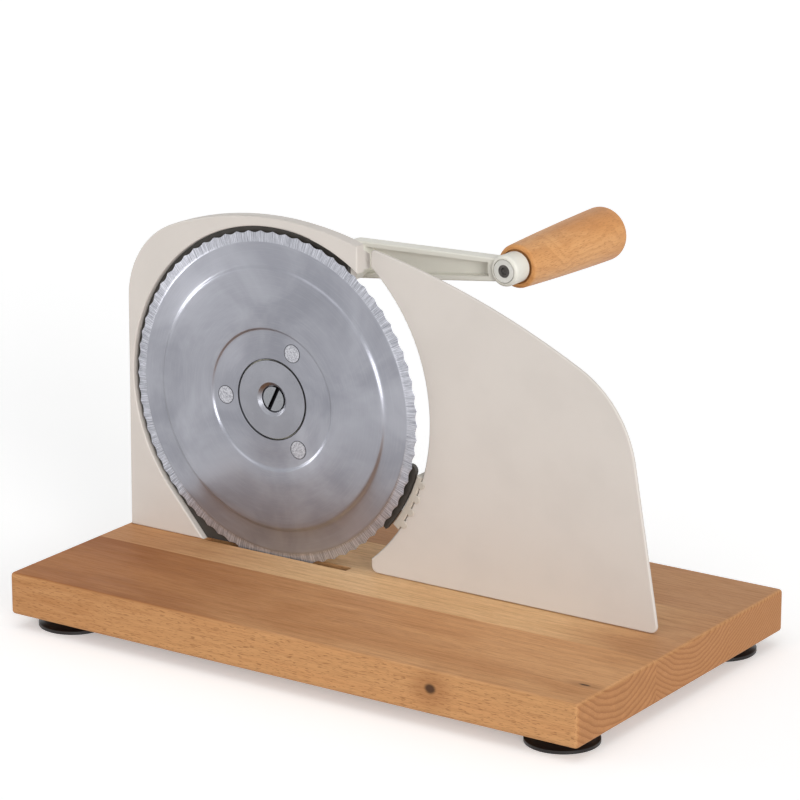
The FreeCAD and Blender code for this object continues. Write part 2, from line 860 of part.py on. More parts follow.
def make_drive_gear():
    web_front = centre_depth + blade_thickness
    web_back = web_front + gear_web
    bush_outer = journal_radius + running_gap + blade_bush_wall
    gear = prism(gear_outline(blade_x, blade_z, gear_teeth, crank_direction), web_front, gear_width)
    rim_inner = gear_radius - dedendum_share * gear_module - gear_rim_wall
    gear = gear.cut(tube(blade_x, blade_z, rim_inner, gear_hub_radius, web_back, gear_width))
    gear = gear.fuse(drum(blade_x, blade_z, gear_hub_radius, web_back, gear_hub_back)).removeSplitter()
    recess_back = centre_depth - hub_proud + hub_thickness + seat_gap
    gear = gear.cut(drum(blade_x, blade_z, hub_radius + hub_gap, web_front, recess_back))
    gear = gear.cut(drum(blade_x, blade_z, bush_outer, web_front, gear_hub_back))
    for spot in rivet_spots():
        gear = gear.cut(drum(spot.x, spot.z, rivet_shank_radius, web_front, web_back))
    return gear


def make_blade_bush():
    front = centre_depth - hub_proud + hub_thickness + seat_gap
    inner = journal_radius + running_gap
    return tube(blade_x, blade_z, inner + blade_bush_wall, inner, front, gear_hub_back)


# Crank

def make_pinion():
    space_angle = crank_direction + 180 + 180 / pinion_teeth
    teeth = prism(gear_outline(crank_x, crank_z, pinion_teeth, space_angle), pinion_front, pinion_back)
    hub_back = housing_back_front - seat_gap
    hub = drum(crank_x, crank_z, pinion_hub_radius, pinion_back, hub_back)
    body = teeth.fuse(hub).removeSplitter()
    return body.cut(drum(crank_x, crank_z, crank_shaft_radius, pinion_front, hub_back))


def make_crank_shaft():
    thread_end = arm_back + crank_washer_thickness + crank_nut_height - crank_nut_cap
    shaft = drum(crank_x, crank_z, crank_shaft_radius, pinion_front, arm_back)
    thread = drum(crank_x, crank_z, crank_thread_radius, arm_back, thread_end)
    return shaft.fuse(thread).removeSplitter()


def make_crank_bush(front):
    inner = crank_shaft_radius + running_gap
    return tube(crank_x, crank_z, inner + crank_bush_wall, inner, front, front + crank_bush_length)


def hull_of_circles(radius_a, radius_b, front, back):
    # Two circles, round the crank's hub and its boss, and the straight lines that touch both.
    lean = math.degrees(math.acos((radius_a - radius_b) / crank_radius))
    top = crank_angle + lean
    low = crank_angle - lean
    edges = [
        Part.makeLine(polar(crank_x, crank_z, radius_a, top), polar(boss_x, boss_z, radius_b, top)),
        arc(boss_x, boss_z, radius_b, top, low),
        Part.makeLine(polar(boss_x, boss_z, radius_b, low), polar(crank_x, crank_z, radius_a, low)),
        arc(crank_x, crank_z, radius_a, low, top - 360),
    ]
    return prism(edges, front, back)


def make_crank_arm():
    body = hull_of_circles(arm_hub_radius, arm_tip_half_height, arm_front, arm_back)
    body = body.makeFillet(plate_edge_round, edges_at_depth(body, arm_front))
    web_front = arm_back - arm_web
    pocket = hull_of_circles(arm_hub_radius - arm_rim, arm_tip_half_height - arm_rim, arm_front, web_front)
    keep_hub = drum(crank_x, crank_z, arm_hub_radius, arm_front, web_front)
    keep_boss = drum(boss_x, boss_z, boss_radius + arm_rim, arm_front, web_front)
    body = body.cut(pocket.cut(keep_hub).cut(keep_boss))
    hub = drum(crank_x, crank_z, arm_hub_radius, arm_hub_front, arm_front + arm_rim)
    boss = drum(boss_x, boss_z, boss_radius, crank_setback, crank_setback + boss_length)
    boss = boss.makeFillet(boss_round, edges_at_depth(boss, crank_setback))
    body = fused([body, hub, boss])
    body = body.cut(drum(crank_x, crank_z, crank_shaft_radius, arm_hub_front, arm_back))
    groove_radius = grip_bush_radius + grip_bush_groove
    groove_back = crank_setback + grip_bush_groove_depth
    body = body.cut(drum(boss_x, boss_z, groove_radius, crank_setback, groove_back))
    return body.cut(drum(boss_x, boss_z, grip_bush_radius, crank_setback, crank_setback + boss_length))


def make_crank_washer():
    return tube(
        crank_x, crank_z, crank_washer_radius, crank_thread_radius,
        arm_back, arm_back + crank_washer_thickness,
    )


def make_crank_nut():
    front = arm_back + crank_washer_thickness
    back = front + crank_nut_height
    nut = hexagon(crank_x, crank_z, crank_nut_across, front, back)
    corner = crank_nut_across / math.sqrt(3)
    round_off = turned(crank_x, crank_z, [
        (0, front), (corner, front), (corner, back - crank_nut_bevel_rise),
        (crank_nut_across / 2 - crank_nut_bevel_inset, back), (0, back),
    ])
    nut = nut.common(round_off)
    return nut.cut(drum(crank_x, crank_z, crank_thread_radius, front, back - crank_nut_cap))


def make_grip_bush():
    front = crank_setback + grip_bush_inset
    return tube(boss_x, boss_z, grip_bush_radius, grip_bolt_radius, front, crank_setback + boss_length)


def make_grip_bolt():
    front = crank_setback + grip_bolt_inset
    head_front = crank_setback + grip_end - grip_head_pocket
    shank = drum(boss_x, boss_z, grip_bolt_radius, front, head_front)
    head = drum(boss_x, boss_z, grip_bolt_head_radius, head_front, head_front + grip_bolt_head_length)
    socket = hexagon(boss_x, boss_z, grip_bolt_socket, front, front + grip_bolt_radius / 2)
    drive = hexagon(
        boss_x, boss_z, grip_bolt_socket,
        head_front + grip_bolt_head_length / 2, head_front + grip_bolt_head_length,
    )
    return fused([shank, head]).cut(socket).cut(drive)


# Grip

def make_grip():
    start = face_y + crank_setback + grip_start
    end = face_y + crank_setback + grip_end

    def spot(radius, y):
        return Vector(boss_x + radius, y, boss_z)

    middle = spot((grip_front_radius + grip_end_radius) / 2 + grip_bulge, (start + end) / 2)
    edges = [
        Part.makeLine(spot(0, start), spot(grip_front_radius, start)),
        Part.Arc(spot(grip_front_radius, start), middle, spot(grip_end_radius, end)).toShape(),
        Part.makeLine(spot(grip_end_radius, end), spot(0, end)),
        Part.makeLine(spot(0, end), spot(0, start)),
    ]
    body = Part.Face(Part.Wire(edges)).revolve(Vector(boss_x, 0, boss_z), Vector(0, 1, 0), 360)
    body = body.makeFillet(grip_front_round, edges_at_depth(body, crank_setback + grip_start))
    body = body.makeFillet(grip_end_round, edges_at_depth(body, crank_setback + grip_end))
    front = crank_setback + grip_start
    body = body.cut(drum(boss_x, boss_z, grip_recess_radius, front, front + grip_recess_depth))
    sleeve_outer = grip_bolt_radius + running_gap + grip_sleeve_wall
    head_front = crank_setback + grip_end - grip_head_pocket
    body = body.cut(drum(boss_x, boss_z, sleeve_outer, front, head_front))
    pocket_radius = grip_bolt_head_radius + seat_gap
    return body.cut(drum(boss_x, boss_z, pocket_radius, head_front - seat_gap, crank_setback + grip_end))


def make_grip_sleeve():
    inner = grip_bolt_radius + running_gap
    front = crank_setback + boss_length + seat_gap
    back = crank_setback + grip_end - grip_head_pocket - seat_gap
    return tube(boss_x, boss_z, inner + grip_sleeve_wall, inner, front, back)


# Fence and what slides with it

def fence_outline():
    # The corner where the top meets the right edge is sharp here and rounded later.
    foot = board_top + fence_lift
    tip_x = left_x + plate_right_end + fence_tip_gap
    high = math.degrees(math.acos((tip_x - fence_arc_x) / fence_arc_radius))
    high_point = polar(fence_arc_x, blade_z, fence_arc_radius, high)
    low_point = polar(fence_arc_x, blade_z, fence_arc_radius, -high)
    tip = high_point.add(Vector(0, 0, fence_tip_rise))
    right_foot = flat(-left_x - fence_right_gap, foot)
    corner_z = board_top + fence_corner_height
    corner_x = right_foot.x - (corner_z - foot) * fence_right_lean
    corner = flat(corner_x, corner_z)
    return [
        Part.makeLine(high_point, tip),
        bulged(tip, corner, fence_top_bulge),
        Part.makeLine(corner, right_foot),
        Part.makeLine(right_foot, flat(low_point.x, foot)),
        Part.makeLine(flat(low_point.x, foot), low_point),
        arc(fence_arc_x, blade_z, fence_arc_radius, -high, high),
    ]


def stud_spots():
    sides = [spindle_x - stud_spacing / 2, spindle_x + stud_spacing / 2]
    return [(x, board_top + height) for x in sides for height in (stud_low, stud_high)]


def thick_edges(plate):
    # The edges that run through the plate from front to back.
    return [e for e in plate.Edges if e.BoundBox.YLength > fence_thickness / 2]


def make_fence_plate():
    plate = prism(fence_outline(), fence_front, fence_back)
    foot_level = board_top + fence_lift + cut_margin
    corner_level = board_top + fence_corner_height
    corner = [e for e in thick_edges(plate) if abs(e.BoundBox.ZMax - corner_level) < level_tolerance]
    plate = plate.makeFillet(fence_corner_radius, corner)
    tip_level = plate.BoundBox.ZMax - cut_margin
    tip = [e for e in thick_edges(plate) if e.BoundBox.ZMax > tip_level]
    plate = plate.makeFillet(fence_tip_round, tip)
    feet = [e for e in thick_edges(plate) if e.BoundBox.ZMax < foot_level]
    plate = plate.makeFillet(fence_foot_round, feet)
    studs = [drum(x, z, stud_radius, fence_back, fence_back + stud_length) for x, z in stud_spots()]
    plate = fused([plate] + studs)
    rims = edges_at_depth(plate, fence_front) + edges_at_depth(plate, fence_back)
    rims = [e for e in rims if not e.isClosed()]
    return plate.makeFillet(fence_edge_round, rims)


def make_edge_guard():
    inner = drum(blade_x, blade_z, guard_radius, guard_front, guard_back)
    outer = drum(fence_arc_x, blade_z, fence_arc_radius - guard_gap, guard_front, guard_back)
    wedge_reach = blade_radius * 2
    wedge = prism(closed([
        flat(blade_x, blade_z),
        polar(blade_x, blade_z, wedge_reach, guard_start),
        polar(blade_x, blade_z, wedge_reach, guard_end),
    ]), guard_front, guard_back)
    strip = outer.cut(inner).common(wedge)
    step = (guard_end - guard_start) / lug_count
    lugs = []
    for i in range(lug_count):
        middle = polar(blade_x, blade_z, guard_radius, guard_start + (i + 0.5) * step)
        turn = angle_of(fence_arc_x, blade_z, middle)
        spot = polar(fence_arc_x, blade_z, fence_arc_radius + lug_inset, turn)
        lug = drum(spot.x, spot.z, lug_radius, guard_front, guard_front + lug_thickness)
        lugs.append(lug.makeFillet(lug_round, edges_at_depth(lug, guard_front)))
    strip = strip.makeFillet(guard_round, edges_at_depth(strip, guard_front))
    return fused([strip] + lugs)


def make_bracket():
    half = bracket_width / 2
    low = board_top + bracket_low
    high = board_top + bracket_high
    leg = block(spindle_x - half, spindle_x + half, fence_back, bracket_back, low, high)
    lip_back = fence_back + bracket_lip
    lip = block(spindle_x - half, spindle_x + half, fence_back, lip_back, low, low + bracket_thickness)
    body = fused([leg, lip])
    for x, z in stud_spots():
        body = body.cut(drum(x, z, stud_radius, fence_back, bracket_back))
    for side in (-1, 1):
        rod_x = spindle_x + side * rod_spacing / 2
        body = body.cut(drum(rod_x, spindle_z, rod_spigot_radius, fence_back, bracket_back))
    return body.cut(drum(spindle_x, spindle_z, spindle_radius + knob_gap, fence_back, bracket_back))


def make_fence_nuts():
    nuts = []
    for x, z in stud_spots():
        nut = hexagon(x, z, nut_across, bracket_back, bracket_back + nut_height)
        nuts.append(nut.cut(drum(x, z, stud_radius, bracket_back, bracket_back + nut_height)))
    return Part.makeCompound(nuts)


def make_rod(side):
    x = spindle_x + side * rod_spacing / 2
    spigot = drum(x, spindle_z, rod_spigot_radius, fence_back, bracket_back)
    collar = drum(x, spindle_z, rod_collar_radius, bracket_back, bracket_back + rod_collar_length)
    rod = drum(x, spindle_z, rod_radius, bracket_back + rod_collar_length, block_back + rod_overrun)
    return fused([spigot, collar, rod])


def make_spindle_nut():
    flange_back = bracket_back + spindle_nut_flange_length
    flange = drum(spindle_x, spindle_z, spindle_nut_flange, bracket_back, flange_back)
    barrel = drum(spindle_x, spindle_z, spindle_nut_radius, flange_back, spindle_nut_back)
    bore = drum(spindle_x, spindle_z, spindle_radius + running_gap, bracket_back, spindle_nut_back)
    return fused([flange, barrel]).cut(bore)


# Guide block on the board

def make_guide_block():
    half = block_width / 2
    high = board_top + block_height
    body = block(spindle_x - half, spindle_x + half, block_front, block_back, board_top, high)
    tops = [e for e in body.Edges if e.BoundBox.ZMin > high - level_tolerance]
    tops = [e for e in tops if e.BoundBox.YLength > block_depth / 2]
    body = body.makeFillet(block_round, tops)
    foot = block(
        spindle_x - half, spindle_x + half,
        block_foot_front, block_front, board_top, board_top + block_foot_height,
    )
    body = fused([body, foot])
    for side in (-1, 1):
        bush = rod_radius + running_gap + guide_bush_wall
        body = body.cut(drum(spindle_x + side * rod_spacing / 2, spindle_z, bush, block_front, block_back))
    room = spindle_nut_radius + block_bore_gap
    body = body.cut(drum(spindle_x, spindle_z, room, block_front, block_back - block_rear_wall))
    body = body.cut(drum(spindle_x, spindle_z, spindle_radius + running_gap, block_front, block_back))
    for x, y in guide_screw_spots():
        grip = min(base_screw_grip, block_foot_height) if y < face_y + block_front else base_screw_grip
        body = body.cut(upright(x, y, base_screw_radius, board_top, board_top + grip))
    return body


def make_guide_screws():
    screws = []
    seat = foot_height + base_screw_sink
    for x, y in guide_screw_spots():
        grip = min(base_screw_grip, block_foot_height) if y < face_y + block_front else base_screw_grip
        head = upright(x, y, base_screw_head_radius, seat - base_screw_head_length, seat)
        shank = upright(x, y, base_screw_radius, seat, board_top + grip)
        screws.append(head.fuse(shank).removeSplitter())
    return Part.makeCompound(screws)


def make_guide_bush(side):
    x = spindle_x + side * rod_spacing / 2
    inner = rod_radius + running_gap
    return tube(x, spindle_z, inner + guide_bush_wall, inner, block_front, block_back)


def make_spindle():
    return drum(spindle_x, spindle_z, spindle_radius, spindle_front, knob_front + knob_thickness / 2)


def make_spindle_clip():
    front = clip_back - spindle_clip_thickness
    return tube(spindle_x, spindle_z, spindle_clip_radius, spindle_radius, front, clip_back)


def make_knob():
    back = knob_front + knob_thickness
    wheel = drum(spindle_x, spindle_z, knob_radius, knob_front, back)
    wheel = wheel.makeChamfer(knob_chamfer, edges_at_depth(wheel, back))
    hub = drum(spindle_x, spindle_z, knob_hub_radius, block_back + knob_gap, knob_front)
    body = fused([wheel, hub])
    for i in range(knob_groove_count):
        spot = polar(spindle_x, spindle_z, knob_radius + knob_groove_radius / 2, 360 * i / knob_groove_count)
        body = body.cut(drum(spot.x, spot.z, knob_groove_radius, knob_front, back))
    body = body.cut(drum(spindle_x, spindle_z, spindle_radius, block_back, knob_front + knob_thickness / 2))
    screw = Part.makeCylinder(
        knob_screw_radius, knob_hub_radius,
        Vector(spindle_x, face_y + (block_back + knob_gap + knob_front) / 2, spindle_z), Vector(0, 0, 1),
    )
    return body.cut(screw)


def make_knob_screw():
    y = face_y + (block_back + knob_gap + knob_front) / 2
    length = knob_hub_radius - spindle_radius
    spot = Vector(spindle_x, y, spindle_z + spindle_radius)
    screw = Part.makeCylinder(knob_screw_radius, length, spot, Vector(0, 0, 1))
    return screw.cut(drum(spindle_x, spindle_z, spindle_radius, block_back, knob_front))


# Writes each piece to its own file

crank_bush_rear_front = bearing_tube_back - crank_bush_length
pieces = {
    "base_board": make_board(),
    "foot_screws": make_foot_screws(),
    "front_plate": make_front_plate(),
    "plate_screws": make_plate_screws(),
    "blade_liner": make_liner(),
    "liner_screws": make_liner_screws(),
    "gear_housing": make_housing(),
    "housing_screws": make_base_screws(base_screw_spots()),
    "axle_hub": make_axle_hub(),
    "axle_screw": make_axle_screw(),
    "crank_bush_front": make_crank_bush(housing_back_front),
    "crank_bush_rear": make_crank_bush(crank_bush_rear_front),
    "blade": make_blade(),
    "blade_rivets": make_rivets(),
    "drive_gear": make_drive_gear(),
    "blade_bush": make_blade_bush(),
    "pinion": make_pinion(),
    "crank_shaft": make_crank_shaft(),
    "crank_arm": make_crank_arm(),
    "crank_washer": make_crank_washer(),
    "crank_nut": make_crank_nut(),
    "grip_bush": make_grip_bush(),
    "grip_bolt": make_grip_bolt(),
    "grip": make_grip(),
    "grip_sleeve": make_grip_sleeve(),
    "fence_plate": make_fence_plate(),
    "edge_guard": make_edge_guard(),
    "fence_bracket": make_bracket(),
    "fence_nuts": make_fence_nuts(),
    "guide_rod_left": make_rod(-1),
    "guide_rod_right": make_rod(1),
    "spindle_nut": make_spindle_nut(),
    "guide_block": make_guide_block(),
    "guide_bush_left": make_guide_bush(-1),
    "guide_bush_right": make_guide_bush(1),
    "guide_screws": make_guide_screws(),
    "spindle": make_spindle(),
    "spindle_clip": make_spindle_clip(),
    "thickness_knob": make_knob(),
    "knob_screw": make_knob_screw(),
}
for name, (x, y) in foot_spots().items():
    pieces[name] = make_foot(x, y)

os.makedirs("parts", exist_ok=True)
for name, shape in pieces.items():
    shape.exportStep("parts/" + name + ".step")
    print(name, len(shape.Solids), "solids", round(shape.Volume, 1), "mm3", "valid", shape.isValid())

print("blade axis", round(blade_x, 3), round(face_y, 3), round(blade_z, 3))
print("crank axis", round(crank_x, 3), round(crank_z, 3))
print("grip axis", round(boss_x, 3), round(boss_z, 3))
print("knob axis", round(spindle_x, 4), round(spindle_z, 3))
print("fence travel", -slice_at_rest, travel_back, "per turn", thread_lead)
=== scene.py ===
import json
import math

import bmesh
import bpy
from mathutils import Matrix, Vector


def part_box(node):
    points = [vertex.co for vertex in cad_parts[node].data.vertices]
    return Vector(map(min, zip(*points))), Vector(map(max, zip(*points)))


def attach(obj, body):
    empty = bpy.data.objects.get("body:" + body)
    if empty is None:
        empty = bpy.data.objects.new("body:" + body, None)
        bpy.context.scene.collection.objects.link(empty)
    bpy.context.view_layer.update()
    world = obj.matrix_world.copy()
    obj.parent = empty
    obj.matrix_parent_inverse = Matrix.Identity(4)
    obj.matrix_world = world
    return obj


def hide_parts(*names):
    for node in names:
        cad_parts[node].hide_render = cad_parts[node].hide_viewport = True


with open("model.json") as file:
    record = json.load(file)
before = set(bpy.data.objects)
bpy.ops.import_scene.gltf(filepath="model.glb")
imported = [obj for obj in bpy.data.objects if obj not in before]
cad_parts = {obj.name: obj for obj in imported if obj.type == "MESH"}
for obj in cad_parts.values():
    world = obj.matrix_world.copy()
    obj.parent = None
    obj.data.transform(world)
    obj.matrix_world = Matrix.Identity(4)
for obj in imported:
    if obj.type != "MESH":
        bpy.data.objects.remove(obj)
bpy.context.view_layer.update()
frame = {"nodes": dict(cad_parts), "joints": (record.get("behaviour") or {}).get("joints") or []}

nodes = frame["nodes"]

# axes of the turning pieces, as packed
jointPlace = {j["name"]: Vector(j["pos_m"]) for j in frame["joints"] if "pos_m" in j}
bladeAxis = jointPlace["blade_spin"]
crankAxis = jointPlace["crank_turn"]
gripAxis = jointPlace["grip_turn"]
boardLow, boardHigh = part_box("base_board")
print("frame loaded:", len(nodes), "nodes")

white = (1.0, 1.0, 1.0, 1.0)
# the spans of a noise's values that a change of tone or gloss is spread over
middle = (0.30, 0.70)
wide = (0.25, 0.75)


# materials: a small kit for building node trees

class Finish:
    def __init__(self, name, color, roughness, **sockets):
        self.material = bpy.data.materials.new(name)
        self.material.use_nodes = True
        self.tree = self.material.node_tree
        self.shader = self.tree.nodes["Principled BSDF"]
        self.put("Base Color", (*color, 1.0))
        self.put("Roughness", roughness)
        for socket, value in sockets.items():
            self.put(socket, value)
        coords = self.add("TexCoord")
        self.place = coords.outputs["Object"]
        self.facing = coords.outputs["Normal"]

    def put(self, socket, value):
        self.feed(self.shader.inputs[socket.replace("_", " ")], value)

    def feed(self, socket, value):
        if isinstance(value, bpy.types.NodeSocket):
            self.tree.links.new(value, socket)
        else:
            socket.default_value = value

    def add(self, kind, inputs=None, **settings):
        made = self.tree.nodes.new("ShaderNode" + kind)
        for key, value in settings.items():
            setattr(made, key, value)
        for key, value in (inputs or {}).items():
            self.feed(made.inputs[key], value)
        return made

    def calc(self, operation, *terms):
        made = self.add("Math", operation=operation)
        for socket, value in zip(made.inputs, terms):
            self.feed(socket, value)
        return made.outputs[0]

    def split(self, vector=None):
        return self.add("SeparateXYZ", {"Vector": vector or self.place}).outputs

    def stretch(self, parts, factors):
        # a vector of three values, each times a factor of its own
        scaled = [self.calc("MULTIPLY", part, factor) for part, factor in zip(parts, factors)]
        return self.add("CombineXYZ", dict(zip("XYZ", scaled))).outputs[0]

    def distance(self, a, b):
        squares = self.calc("ADD", self.calc("MULTIPLY", a, a), self.calc("MULTIPLY", b, b))
        return self.calc("SQRT", squares)

    def noise(self, vector, scale=1.0, detail=3.0, rough=0.5, twist=0.0):
        inputs = {"Vector": vector, "Scale": scale, "Detail": detail, "Roughness": rough, "Distortion": twist}
        return self.add("TexNoise", inputs).outputs[0]

    def drawnOut(self, parts, along, across, *settings):
        # noise drawn out in the first direction
        return self.noise(self.stretch(parts, (along, across, across)), 1.0, *settings)

    def toolMarks(self, polar, sweep, lines, *settings):
        # noise round an axis: sweep for changes along a circle, lines for changes outwards
        radius, across, up = polar
        return self.noise(self.stretch((across, up, radius), (sweep, sweep, lines)), 1.0, *settings)

    def swing(self, noise):
        # a noise about zero
        return self.calc("SUBTRACT", noise, 0.5)

    def range(self, value, low, high, toLow=0.0, toHigh=1.0):
        inputs = {"Value": value, "From Min": low, "From Max": high, "To Min": toLow, "To Max": toHigh}
        return self.add("MapRange", inputs, interpolation_type="SMOOTHSTEP").outputs[0]

    def mix(self, share, first, second):
        made = self.add("Mix", data_type="RGBA", clamp_factor=True)
        for socket, value in ((made.inputs[0], share), (made.inputs[6], first), (made.inputs[7], second)):
            self.feed(socket, (*value, 1.0) if isinstance(value, tuple) else value)
        return made.outputs[2]

    def tone(self, noise, span, color, level):
        self.put("Base Color", self.mix(self.range(noise, *span), color, shade(color, level)))

    def gloss(self, noise, span, low, high):
        self.put("Roughness", self.range(noise, *span, low, high))

    def bump(self, height, strength, distance):
        made = self.add("Bump", {"Height": height, "Strength": strength, "Distance": distance})
        self.put("Normal", made.outputs[0])

    def polar(self, axis):
        # distance from an axis along Y, and the direction outwards
        x, y, z = self.split()
        dx = self.calc("SUBTRACT", x, axis.x)
        dz = self.calc("SUBTRACT", z, axis.z)
        radius = self.distance(dx, dz)
        return radius, self.calc("DIVIDE", dx, radius), self.calc("DIVIDE", dz, radius)


def shade(color, level):
    return tuple(c * level for c in color)


def spread(value, less, more):
    return value - less, value + more


# plain finishes: noise as scale, detail and roughness, bump as strength and distance
enamelLook = {
    "roughness": 0.40,
    "gloss": (0.36, 0.48),
    "peel": (900.0, 2.0),
    "patches": (35.0, 3.0),
    "patchSpan": (0.35, 0.70),
    "patchLevel": 0.965,
    "bump": (0.03, 0.0002),
}
plasticLook = {
    "gloss": (0.05, 0.06),
    "texture": (1400.0, 2.0),
    "patches": (60.0, 2.0),
    "patchLevel": 0.88,
    "bumpDistance": 0.0002,
}
turnedLook = {
    "gloss": (0.07, 0.08),
    "patches": (60.0, 3.0),
    "patchLevel": 0.86,
    "bumpDistance": 0.0002,
}
platedLook = {
    "gloss": (0.06, 0.10),
    "mottle": (4.0, 0.6),
    "bump": (0.08, 0.0003),
}


def enamel(name, color):
    # sprayed enamel: faint orange peel and a little uneven gloss
    made = Finish(name, color, enamelLook["roughness"])
    peel = made.noise(made.place, *enamelLook["peel"])
    patches = made.noise(made.place, *enamelLook["patches"])
    made.tone(patches, enamelLook["patchSpan"], color, enamelLook["patchLevel"])
    made.gloss(patches, middle, *enamelLook["gloss"])
    made.bump(peel, *enamelLook["bump"])
    return made.material


def plastic(name, color, roughness, relief=0.05):
    made = Finish(name, color, roughness)
    texture = made.noise(made.place, *plasticLook["texture"])
    patches = made.noise(made.place, *plasticLook["patches"])
    made.tone(patches, middle, color, plasticLook["patchLevel"])
    made.gloss(patches, middle, *spread(roughness, *plasticLook["gloss"]))
    made.bump(texture, relief, plasticLook["bumpDistance"])
    return made.material


def turnedMetal(name, color, roughness, axis, sweep=9.0, lines=2600.0, relief=0.12):
    # concentric tool marks about an axis along Y
    made = Finish(name, color, roughness, Metallic=1.0)
    marks = made.toolMarks(made.polar(axis), sweep, lines)
    patches = made.noise(made.place, *turnedLook["patches"])
    made.tone(patches, middle, color, turnedLook["patchLevel"])
    made.gloss(marks, wide, *spread(roughness, *turnedLook["gloss"]))
    made.bump(marks, relief, turnedLook["bumpDistance"])
    return made.material


def platedMetal(name, color, roughness, scale=300.0, level=0.8):
    # plated or plain metal with a fine even mottle
    made = Finish(name, color, roughness, Metallic=1.0)
    spots = made.noise(made.place, scale, *platedLook["mottle"])
    made.tone(spots, middle, color, level)
    made.gloss(spots, middle, *spread(roughness, *platedLook["gloss"]))
    made.bump(spots, *platedLook["bump"])
    return made.material


# what both woods share: patterns as scale along and across the grain, then detail, roughness and twist
woodLook = {
    "flow": (24.0, 2.0),
    "crinkle": (120.0, 2.0),
    "smudge": (9.0, 34.0, 4.0, 0.55, 0.5),
    "smudgeSpan": (0.36, 0.66),
    "streaks": (14.0, 150.0, 4.0, 0.6, 0.3),
    "streakSpan": (0.40, 0.72),
    "streakShare": 0.38,
    "fibres": (60.0, 1500.0, 2.0),
    "fibreSpan": (0.42, 0.75),
    "fibreShare": 0.30,
    "fleckDetail": 0.0,
    "fleckSpan": (0.640, 0.700),
    "fleckLossAtEnds": 0.75,
    "fleckHollow": 0.8,
    # a ring darkens slowly and ends at once
    "ringRise": (0.35, 0.95),
    "ringFall": (1.00, 0.95),
    # how squarely a face looks along an axis, from none to all of its effect
    "endFacing": (0.55, 0.85),
    "sideFacing": (0.55, 0.95),
    "edgeFacing": (0.96, 0.82),
    # distance in knot widths, and the share of colour it gives
    "knotHalo": (4.2, 0.9, 0.0, 0.45),
    "knotHeart": (1.05, 0.45, 0.0, 0.92),
    "knotWander": 0.7,
    "gloss": (0.05, 0.08),
    "bump": (0.10, 0.0003),
}


def staveTone(made, x, stave):
    # a stave's light and warm tones, which may drift along its length
    if "drift" not in stave:
        return stave["light"], stave["warm"]
    share = made.range(x, *stave["drift"])
    if "driftBack" in stave:
        share = made.calc("MULTIPLY", share, made.range(x, *stave["driftBack"]))
    light = made.mix(share, stave["light"], stave["lateLight"])
    return light, made.mix(share, stave["warm"], stave["lateWarm"])


